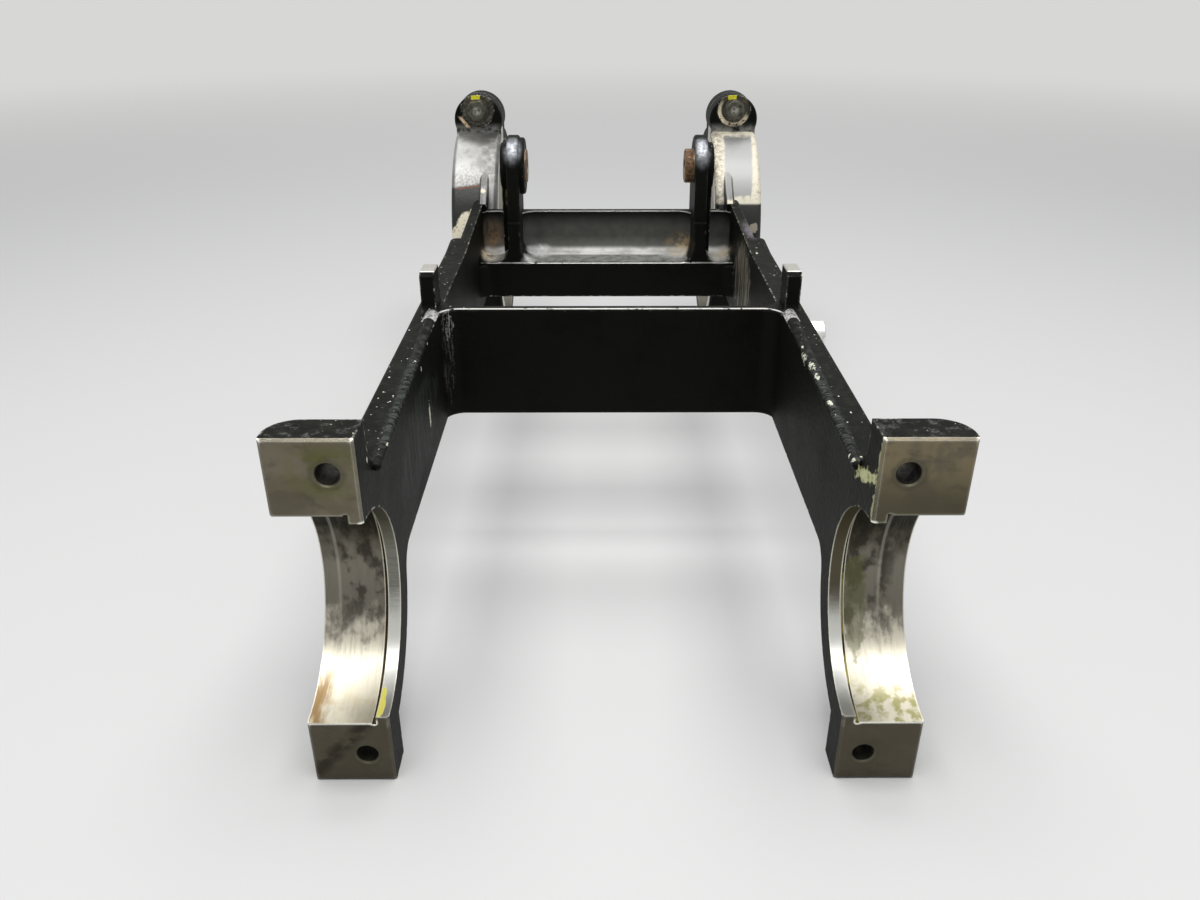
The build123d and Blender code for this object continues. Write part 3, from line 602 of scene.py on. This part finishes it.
def arm_sheen_and_wear():
    metal = Finish("arm_sheen_and_wear", (0.40, 0.398, 0.385), 0.38, 0.8)
    pits = metal.grain(0.0016, 4)
    cloud = metal.grain(0.009, 5)
    wave = (metal.grain(0.006, 4) - 0.5) * 0.008
    metal.height = pits * 0.00013 + metal.grain(0.0006, 2) * 0.00003
    metal.roughness = 0.28 + pits * 0.22
    metal.coat(cloud.between(0.44, 0.66) * 0.6, (0.25, 0.248, 0.235))
    left = metal.x.between(0.01, -0.01)
    right = 1 - left
    level = metal.z + wave * 0.5 - (metal.x + 0.0957) * 0.12
    # Dark specks, thicker towards the brown line and towards the rib
    near_line = level.between(0.1560, 0.1420)
    specks = metal.grain(0.0011, 5).between(0.60, 0.68) | (near_line * pits.between(0.48, 0.60))
    metal.coat(specks * 0.6, (0.12, 0.115, 0.10), 0.5)
    # Painted shade on the left arm's sheen: darker inboard and down towards the line
    inboard = metal.x.between(-0.0980, -0.0800)
    metal.coat(left * inboard * cloud.between(0.30, 0.55) * 0.8, (0.13, 0.128, 0.12))
    metal.coat(left * level.between(0.1580, 0.1440) * 0.6, (0.16, 0.158, 0.15))
    metal.coat(left * level.between(0.1432, 0.1408), paint_black, 0.40, 0.0)
    line = metal.band(level, 0.1408, 0.1417, 0.0003) * metal.band(metal.x, -0.1035, -0.0870, 0.0010)
    metal.coat(line * 0.9, (0.20, 0.070, 0.030), 0.6, 0.1)
    # A painted sheen on the left arm inboard of the rib, below the line
    shine = metal.band(metal.x, -0.0870, -0.0750, 0.0015) * metal.z.between(0.116, 0.128)
    metal.coat(left * shine * level.between(0.1432, 0.1408) * 0.7, (0.36, 0.355, 0.35), 0.38, 0.7)
    # The patch where the left arm's paint has come off to the old cream primer
    slope = metal.x - (metal.z - 0.1170) * 0.69
    bare = metal.band(slope + wave * 0.9, -0.1050, -0.0880, 0.0008)
    bare = bare * metal.band(metal.z + wave * 1.2, 0.1000, 0.1262, 0.001)
    bare = bare | metal.spot((-0.0847, 0.1271, 0.1402), (0.0018, 0.0022, 0.0018), 0.8)
    metal.coat(left * bare, (0.97, 0.90, 0.70), 0.55, 0.0)
    tan = left * bare * metal.grain(0.0022, 4).between(0.54, 0.64)
    metal.coat(tan * 0.8, (0.42, 0.27, 0.14), 0.6, 0.0)
    # The right arm's cream border and the plain grey panel in it
    metal.coat(right, (0.84, 0.79, 0.64), 0.50, 0.1)
    dirty = right * metal.grain(0.0035, 5).between(0.50, 0.66)
    metal.coat(dirty * 0.6, (0.42, 0.34, 0.22), 0.55, 0.2)
    worn_off = metal.x.between(0.0850, 0.0780) * metal.grain(0.0028, 5).between(0.42, 0.56)
    metal.coat(right * worn_off * 0.7, (0.24, 0.20, 0.15), 0.5, 0.5)
    tilt = (metal.z - 0.1523) * 0.10
    panel = metal.band(metal.x - tilt + wave * 0.4, 0.0822, 0.1018, 0.0008)
    panel = panel * metal.band(metal.z + wave * 0.5, 0.1355, 0.1690, 0.0010)
    metal.coat(right * panel, (0.36, 0.362, 0.355), 0.46, 0.7)
    metal.coat(right * panel * metal.z.between(0.1580, 0.1400) * 0.6, (0.20, 0.20, 0.19), 0.5, 0.6)
    metal.coat(right * metal.z.between(0.1318, 0.1300), paint_black, 0.40, 0.0)
    light = metal.spot((0.1020, far_y - 0.0725, 0.1155), (0.0030, 0.02, 0.0034), 0.7, 0.003)
    metal.coat(light * 0.8, (0.42, 0.38, 0.30), 0.5, 0.0)
    low = metal.z.between(0.104, 0.100)
    metal.coat(low, paint_black, 0.40, 0.0)
    metal.coat(metal.edges(0.0012) * 0.5, bare_aluminium, 0.35)
    return metal.done()


def on_arm_back(spot, way):
    from_axis = math.hypot(spot.y - far_y, spot.z - far_axis_z)
    on_round = far_arm_r - 0.0032 < from_axis < far_arm_r + 0.0006
    on_round = on_round and abs(way.x) < 0.97 and spot.z > far_axis_z
    across_rib = rib_inner_x - 0.0005 < abs(spot.x) < rib_inner_x + rib_width + 0.0005
    on_rib = across_rib and from_axis > far_arm_r and spot.z > rib_low_z and spot.y > rib_near_y
    on_arm = abs(spot.x) > arm_inner_x - 0.0004 and spot.y < lug_face_y - 0.0005
    return on_arm and (on_round or on_rib)


refinish(arm_sheen_and_wear(), on_arm_back)


# The far bores, the joint faces against the caps, the tops of the side lugs and the seats behind
# the saddles' bolt holes: the casting's own aluminium, bored and milled plain, and dulled.
far_bore_r = 0.065
side_lug_top = 0.147
side_lug_y = near_y + 0.1895
near_spot_r = 0.0085


def machined_aluminium():
    metal = Finish("machined_aluminium", (0.60, 0.59, 0.55), 0.36, 1.0)
    rings = metal.grain(0.0004, 3, (6, 1, 6))
    cloud = metal.grain(0.005, 5)
    metal.height = rings * 0.000010
    metal.roughness = 0.28 + cloud * 0.25
    metal.coat(cloud.between(0.34, 0.74) * 0.5, (0.36, 0.34, 0.29), 0.5)
    metal.coat(metal.edges(0.0008), (0.80, 0.79, 0.72), 0.3)
    return metal.done(0.0003)


def on_machined(spot, way):
    out = abs(spot.x)
    on_arm = out > arm_inner_x - 0.0005
    in_bore = on_arm and math.hypot(spot.y - far_y, spot.z - far_axis_z) < far_bore_r + 0.0003
    on_joint = on_arm and spot.y > far_y - 0.0002 and way.y > 0.9
    on_lug = spot.z > side_lug_top - 0.0008 and abs(spot.y - side_lug_y) < 0.012 and out > 0.08
    near = math.hypot(out - near_hole_x, abs(spot.z - near_axis_z) - near_hole_offset)
    behind_block = bolt_hole_r < near < near_spot_r + 0.0002
    behind_block = behind_block and abs(spot.y - near_y - block_depth) < 0.001
    return in_bore or on_joint or on_lug or behind_block


refinish(machined_aluminium(), on_machined)


# The spotfaces on the far lugs, where the cap bolts' washers sit. The cutter's rim keeps a
# cream ring of primer on the right lug and a thin grey one on the left.
spotface_r = 0.0115
spotface_y = lug_face_y + 0.0015
lug_bolt_z = far_axis_z + lug_bolt_offset


def spotface():
    metal = Finish("spotface", (0.055, 0.050, 0.038), 0.45, 0.6)
    crumb = metal.grain(0.0018, 5)
    metal.height = crumb * 0.00004
    metal.coat(crumb.between(0.50, 0.64) * 0.7, (0.12, 0.105, 0.075), 0.55, 0.4)
    for side in (1, -1):
        far_out = metal.reach((side * lug_bolt_x, 0, lug_bolt_z), (1, 1000, 1))
        ring = far_out.between(0.0084, 0.0096) * metal.x.between(-0.01 * side, 0.01 * side)
        slant = metal.z + side * (metal.x - side * lug_bolt_x) * 0.5
        low = slant.between(lug_bolt_z + 0.004, lug_bolt_z - 0.004)
        if side > 0:
            metal.coat(ring * low * crumb.between(0.36, 0.48), (0.92, 0.82, 0.62), 0.6, 0.0)
        else:
            metal.coat(ring * crumb.between(0.44, 0.58) * 0.5, (0.20, 0.19, 0.15), 0.45, 0.6)
    metal.coat(metal.edges(0.0008) * crumb.between(0.42, 0.54), (0.50, 0.48, 0.40), 0.45, 0.6)
    return metal.done(0.0003)


def on_spotface(spot, way):
    from_bolt = math.hypot(abs(spot.x) - lug_bolt_x, abs(spot.z - far_axis_z) - lug_bolt_offset)
    from_floor = abs(spot.y - spotface_y)
    on_floor = way.y < -0.9 and from_floor < 0.0002
    on_wall = abs(way.y) < 0.3 and from_floor < 0.0020 and from_bolt > spotface_r - 0.0004
    return from_bolt < spotface_r + 0.0003 and (on_floor or on_wall)


refinish(spotface(), on_spotface)


# The side sleeve: a short steel tube, ground and pressed into the boss on the right rail. Its
# end stands out of the rail, scuffed bright, and its underside is painted dark as painted shade.
def sleeve_steel():
    steel = Finish("sleeve_steel", (0.92, 0.91, 0.89), 0.30, 1.0)
    turning = steel.grain(0.0003, 2, (1, 30, 30))
    cloud = steel.grain(0.004, 5)
    steel.height = turning * 0.000008
    steel.roughness = 0.22 + cloud * 0.25
    steel.coat(cloud.between(0.52, 0.66) * 0.5, (0.40, 0.37, 0.34), 0.45)
    # Painted shade on the sleeve's underside
    steel.coat(steel.z.between(0.1110, 0.1070) * 0.8, (0.060, 0.055, 0.045), 0.5)
    return steel.done(0.0003)


def dress(node, material):
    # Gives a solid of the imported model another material
    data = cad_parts[node].data
    data.materials.clear()
    data.materials.append(material)


dress("side_sleeve", sleeve_steel())


# The ear bushes: flanged bushes turned from bronze and pressed into the pivot ears from their
# inner sides. Old grease has browned them.
def bush_bronze():
    bronze = Finish("bush_bronze", (0.24, 0.145, 0.075), 0.45, 0.85)
    turning = bronze.grain(0.0003, 2, (30, 1, 1))
    cloud = bronze.grain(0.003, 5)
    bronze.height = turning * 0.000006 + cloud * 0.00003
    bronze.roughness = 0.36 + cloud * 0.3
    bronze.coat(cloud.between(0.46, 0.60), (0.13, 0.060, 0.026), 0.7, 0.2)
    bronze.coat(bronze.grain(0.0018, 4).between(0.52, 0.64), (0.035, 0.025, 0.016), 0.6, 0.2)
    bronze.coat(bronze.edges(0.0008) * 0.7, (0.60, 0.47, 0.30), 0.35, 1.0)
    return bronze.done(0.0003)


bronze = bush_bronze()
for side in ("right", "left"):
    dress(f"ear_bush_{side}", bronze)


# The far caps: the far arms' other halves, of the same cast and painted aluminium, bored and
# faced with the arms and bolted to their lugs.
def cap_paint():
    paint = sprayed("cap_paint")
    axis = (0, far_y, far_axis_z)
    bore = paint.reach(axis, (1000, 1, 1)).between(far_bore_r + 0.0003, far_bore_r + 0.0001)
    joint = paint.y.between(far_y + 0.0002, far_y + 0.0001)
    turning = paint.grain(0.0004, 3, (1, 20, 20))
    bare = bore | joint
    for end in (1, -1):
        for side in (1, -1):
            bolt = (side * lug_bolt_x, 0, far_axis_z + end * lug_bolt_offset)
            seat = paint.reach(bolt, (1, 1000, 1)).between(spotface_r + 0.0001, spotface_r - 0.0001)
            bare = bare | (seat * paint.facing()[1].between(0.90, 0.98))
    paint.coat(bare, (0.36, 0.35, 0.31), 0.30, 1.0)
    paint.height = paint.height * (1 - bare * 0.9) + turning * bare * 0.00001
    return paint.done()


painted_cap = cap_paint()
for side in ("right", "left"):
    dress(f"far_cap_{side}", painted_cap)


# The cap hardware: the plated steel washers and self-locking nuts that hold the far caps to the
# arms' lugs, dulled with age. The bolts below have the same finish.
head_height = 0.0054
washer_thickness = 0.0016
head_seat_y = spotface_y - washer_thickness


def plated_steel():
    steel = Finish("plated_steel", (0.115, 0.110, 0.088), 0.42, 1.0)
    cloud = steel.grain(0.0025, 5)
    steel.height = steel.grain(0.0005, 2) * 0.00001
    steel.roughness = 0.32 + cloud * 0.3
    steel.coat(cloud.between(0.48, 0.62) * 0.8, (0.045, 0.040, 0.030), 0.6)
    # A painted highlight in the middle of each bolt head
    for side in (1, -1):
        head_top = (side * lug_bolt_x, head_seat_y - head_height, lug_bolt_z)
        middle = steel.reach(head_top, (0.0042, 0.0015, 0.0042))
        steel.coat(middle.between(1.0, 0.3) * cloud.between(0.38, 0.56), (0.40, 0.40, 0.36), 0.34)
    steel.coat(steel.edges(0.0006) * 0.6, (0.36, 0.35, 0.30), 0.35)
    return steel.done(0.0002)


plated = plated_steel()
for side in ("right", "left"):
    for end in ("upper", "lower"):
        for part in ("cap_nut", "head_washer", "nut_washer"):
            dress(f"{part}_{end}_{side}", plated)


# The cap bolts: 5/16 inch hexagon bolts with a rolled thread, whose points stand a little out of
# the nuts behind the caps. The head has a washer face below and rounded-off corners on top.
head_flats = 0.0127
washer_face = 0.0004
nut_height = 0.0079
bolt_proud = 0.0025
bolt_end_y = far_y + (far_y - head_seat_y) + nut_height + bolt_proud
shank_r = 0.00397
thread_pitch = 0.001058
thread_root_r = 0.00335


def pick(mesh_object, test):
    # Selects the vertices that pass a test on their place
    bpy.ops.object.mode_set(mode="OBJECT")
    for vertex in mesh_object.data.vertices:
        vertex.select = test(vertex.co)
    for edge in mesh_object.data.edges:
        edge.select = all(mesh_object.data.vertices[i].select for i in edge.vertices)
    for face in mesh_object.data.polygons:
        face.select = all(mesh_object.data.vertices[i].select for i in face.vertices)
    bpy.ops.object.mode_set(mode="EDIT")


def bolt_head():
    # A hexagon prism along Y, its top edge turned to a cone and its foot stepped in
    corner_r = head_flats / math.sqrt(3)
    bpy.ops.mesh.primitive_cylinder_add(vertices=6, radius=corner_r, depth=head_height,
                                        rotation=(math.pi / 2, 0, 0))
    head = bpy.context.object
    bpy.ops.object.transform_apply(location=True, rotation=True, scale=True)
    half = head_height / 2
    bpy.ops.object.mode_set(mode="EDIT")
    bpy.ops.mesh.select_mode(type="VERT")
    pick(head, lambda place: place.y < -half + 0.0001)
    bpy.ops.mesh.inset(thickness=0.0007, depth=0.0)
    bpy.ops.transform.translate(value=(0, -0.0003, 0))
    bpy.ops.mesh.inset(thickness=0.0016, depth=-0.0002)
    pick(head, lambda place: place.y > half - 0.0001)
    bpy.ops.mesh.inset(thickness=0.0009, depth=0.0)
    bpy.ops.mesh.extrude_region_move(TRANSFORM_OT_translate={"value": (0, washer_face, 0)})
    bpy.ops.mesh.select_all(action="SELECT")
    bpy.ops.transform.translate(value=(0, head_seat_y - half - washer_face, 0))
    bpy.ops.transform.resize(value=(1, 0.9, 1), center_override=(0, head_seat_y, 0))
    bpy.ops.object.mode_set(mode="OBJECT")
    rounding = head.modifiers.new("rounding", "BEVEL")
    rounding.width = 0.00030
    rounding.segments = 2
    bpy.ops.object.modifier_apply(modifier="rounding")
    return head


def bolt_thread():
    # One V of the thread, screwed round the bolt's axis and cut off square at both ends
    bpy.ops.mesh.primitive_plane_add(size=0.001)
    thread = bpy.context.object
    bpy.ops.object.mode_set(mode="EDIT")
    bpy.ops.mesh.select_mode(type="VERT")
    pick(thread, lambda place: place.x > 0 and place.y > 0)
    bpy.ops.mesh.delete(type="VERT")
    turns = 11
    start_y = bolt_end_y - (turns - 1) * thread_pitch
    half_pitch = thread_pitch / 2
    crest = (shank_r, start_y)
    root_before = (thread_root_r, start_y - half_pitch)
    root_after = (thread_root_r, start_y + half_pitch)
    for test, target in (
        (lambda place: place.x < 0 and place.y < 0, crest),
        (lambda place: 0 < place.x < 0.001 and place.y < 0, root_before),
        (lambda place: place.x < 0 and 0 < place.y < 0.001, root_after),
    ):
        pick(thread, test)
        moved = [vertex.co.copy() for vertex in thread.data.vertices if vertex.select][0]
        bpy.ops.transform.translate(value=(target[0] - moved.x, target[1] - moved.y, 0))
    bpy.ops.object.mode_set(mode="OBJECT")
    winding = thread.modifiers.new("winding", "SCREW")
    winding.axis = "Y"
    winding.angle = 2 * math.pi
    winding.screw_offset = thread_pitch
    winding.iterations = turns
    winding.steps = winding.render_steps = 24
    winding.use_merge_vertices = True
    winding.merge_threshold = 0.000005
    bpy.ops.object.modifier_apply(modifier="winding")
    bpy.ops.object.mode_set(mode="EDIT")
    point = 0.0004
    for cut_y, outer in ((start_y + 1.2 * thread_pitch, False), (bolt_end_y - point, True)):
        bpy.ops.mesh.select_all(action="SELECT")
        bpy.ops.mesh.remove_doubles(threshold=0.000005)
        bpy.ops.mesh.bisect(plane_co=(0, cut_y, 0), plane_no=(0, 1, 0), use_fill=True,
                            clear_outer=outer, clear_inner=not outer)
    bpy.ops.mesh.extrude_region_move(TRANSFORM_OT_translate={"value": (0, point, 0)})
    bpy.ops.transform.resize(value=(0.86, 1, 0.86))
    bpy.ops.mesh.select_all(action="SELECT")
    bpy.ops.mesh.normals_make_consistent(inside=False)
    bpy.ops.object.mode_set(mode="OBJECT")
    return thread


def bolt_shank():
    # The plain length, from inside the head to inside the thread
    near_end = head_seat_y - 0.001
    far_end = bolt_end_y - 0.0070
    centre = (0, (near_end + far_end) / 2, 0)
    bpy.ops.mesh.primitive_cylinder_add(vertices=32, radius=shank_r, depth=far_end - near_end,
                                        location=centre, rotation=(math.pi / 2, 0, 0))
    shank = bpy.context.object
    bpy.ops.object.transform_apply(location=True, rotation=True, scale=True)
    taper = shank.modifiers.new("taper", "BEVEL")
    taper.width = 0.0003
    taper.limit_method = "ANGLE"
    bpy.ops.object.modifier_apply(modifier="taper")
    return shank


bpy.ops.object.select_all(action="DESELECT")
pieces = [bolt_head(), bolt_thread(), bolt_shank()]
for piece in pieces:
    piece.select_set(True)
bpy.context.view_layer.objects.active = pieces[0]
bpy.ops.object.join()
pattern_bolt = bpy.context.object
bpy.ops.object.shade_smooth_by_angle(angle=math.radians(30))
for side_name, side in (("right", 1), ("left", -1)):
    for end_name, end in (("upper", 1), ("lower", -1)):
        bolt = pattern_bolt.copy()
        bolt.data = pattern_bolt.data.copy()
        bolt.name = f"threaded_bolt_{end_name}_{side_name}"
        bpy.context.collection.objects.link(bolt)
        select_only(bolt)
        bolt.location = (side * lug_bolt_x, 0, far_axis_z + end * lug_bolt_offset)
        bolt.rotation_euler = (0, math.radians(17 * side + 40 * end), 0)
        bpy.ops.object.transform_apply(location=True, rotation=True, scale=True)
        bolt.data.materials.clear()
        bolt.data.materials.append(plated)
        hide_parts(f"cap_bolt_{end_name}_{side_name}")
        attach(bolt, "root")
bpy.data.objects.remove(pattern_bolt)


# The torque marks: a dab of yellow lacquer laid from each upper washer onto its spotface after
# tightening, so that a bolt that has turned shows.
def torque_lacquer():
    lacquer = Finish("torque_lacquer", (0.80, 0.74, 0.02), 0.40)
    crackle = lacquer.grain(0.0008, 4)
    lacquer.height = crackle * 0.00006
    lacquer.roughness = 0.34 + crackle * 0.2
    lacquer.coat(crackle.between(0.56, 0.68) * 0.5, (0.48, 0.42, 0.03))
    return lacquer.done(0)


lacquer = torque_lacquer()
dab_low, dab_high = 0.1926, 0.1956
dab_depth = 0.0010
dab_y = spotface_y + 0.0001 - dab_depth / 2
for side_name, centre_x, width in (("right", 0.0899, 0.0060), ("left", -0.0927, 0.0064)):
    bpy.ops.object.select_all(action="DESELECT")
    middle = (centre_x, dab_y, (dab_low + dab_high) / 2)
    spread = (width, dab_depth, dab_high - dab_low)
    bpy.ops.mesh.primitive_cube_add(size=1, location=middle, scale=spread)
    dab = bpy.context.object
    dab.name = f"torque_mark_{side_name}"
    bpy.ops.object.transform_apply(location=True, rotation=True, scale=True)
    bpy.ops.object.mode_set(mode="EDIT")
    bpy.ops.mesh.select_all(action="SELECT")
    bpy.ops.mesh.subdivide(number_cuts=5, smoothness=0.0)
    bpy.ops.transform.vertex_random(offset=0.0003, seed=7)
    bpy.ops.mesh.select_all(action="DESELECT")
    bpy.ops.object.mode_set(mode="OBJECT")
    soft = dab.modifiers.new("soft", "SUBSURF")
    soft.levels = soft.render_levels = 1
    bpy.ops.object.modifier_apply(modifier="soft")
    bpy.ops.object.shade_smooth()
    dab.data.materials.append(lacquer)
    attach(dab, "root")


# The floor, the light and the camera: a plain pale floor, two broad soft lamps above and behind
# the part, and the camera low in front of the near saddles.
floor_span = 60
floor_drop = 0.0001


def seen_straight(wire):
    # 1 for what is seen, also in a mirror or through glass, and 0 for the light it gives
    camera_or_mirror = (wire.node("LightPath", output="Is Camera Ray")
                        | wire.node("LightPath", output="Is Glossy Ray"))
    return camera_or_mirror | wire.node("LightPath", output="Is Transmission Ray")


bpy.ops.object.select_all(action="DESELECT")
bpy.ops.mesh.primitive_plane_add(size=floor_span, location=(0, 0, -floor_drop))
floor = bpy.context.object
floor.name = "floor"
floor_paint = Finish("pale_floor", (0.72, 0.72, 0.71), 0.9)
floor_paint.height = floor_paint.grain(0.004, 3) * 0.00002
floor.data.materials.append(floor_paint.done(0))
here = floor_paint.place
far_off = floor_paint.reach((0, 0, 0)).between(0.6, 2.6)
paper = here.node("Emission", sockets={"Color": (0.68, 0.68, 0.67), "Strength": 1.0})
lit = Wire(here.tree, floor_paint.shader.outputs[0])
mixed = here.node("MixShader", sockets={0: seen_straight(here) * far_off, 1: lit, 2: paper})
feed(here.tree.nodes["Material Output"].inputs["Surface"], mixed)

for name, size_x, size_y, energy, place, turn in (
    ("overhead", 1.4, 1.12, 21, (0.0, -0.42, 1.40), -12),
    ("behind", 2.0, 1.0, 19, (0.0, 1.25, 2.00), 20),
):
    lamp = bpy.data.lights.new(name, "AREA")
    lamp.shape = "RECTANGLE"
    lamp.size = size_x
    lamp.size_y = size_y
    lamp.energy = energy
    hung = bpy.data.objects.new(name, lamp)
    hung.location = place
    hung.rotation_euler = (math.radians(turn), 0, 0)
    bpy.context.collection.objects.link(hung)

world = bpy.data.worlds.new("studio")
bpy.context.scene.world = world
world.use_nodes = True
world.node_tree.nodes.clear()
sky = Wire(world.node_tree)
ambient = sky.node("Background", sockets={"Color": (0.93, 0.96, 1.0), "Strength": 0.22})
backdrop = sky.node("Background", sockets={"Color": (0.66, 0.66, 0.65), "Strength": 1.0})
mixed = sky.node("MixShader", sockets={0: seen_straight(sky), 1: ambient, 2: backdrop})
sky.node("OutputWorld", sockets={"Surface": mixed})

viewpoint = (-0.00699, -0.54425, 0.28364)
tilt = math.radians(62.9255)
pan = math.radians(-0.2178)
focal_length = 28.98
film_width = 36
lens = bpy.data.cameras.new("camera")
lens.lens = focal_length
lens.sensor_width = film_width
lens.sensor_fit = "HORIZONTAL"
lens.clip_start = 0.01
camera = bpy.data.objects.new("camera", lens)
camera.location = viewpoint
camera.rotation_euler = (tilt, 0, pan)
bpy.context.collection.objects.link(camera)
bpy.context.scene.camera = camera
bpy.context.scene.view_settings.view_transform = "Standard"
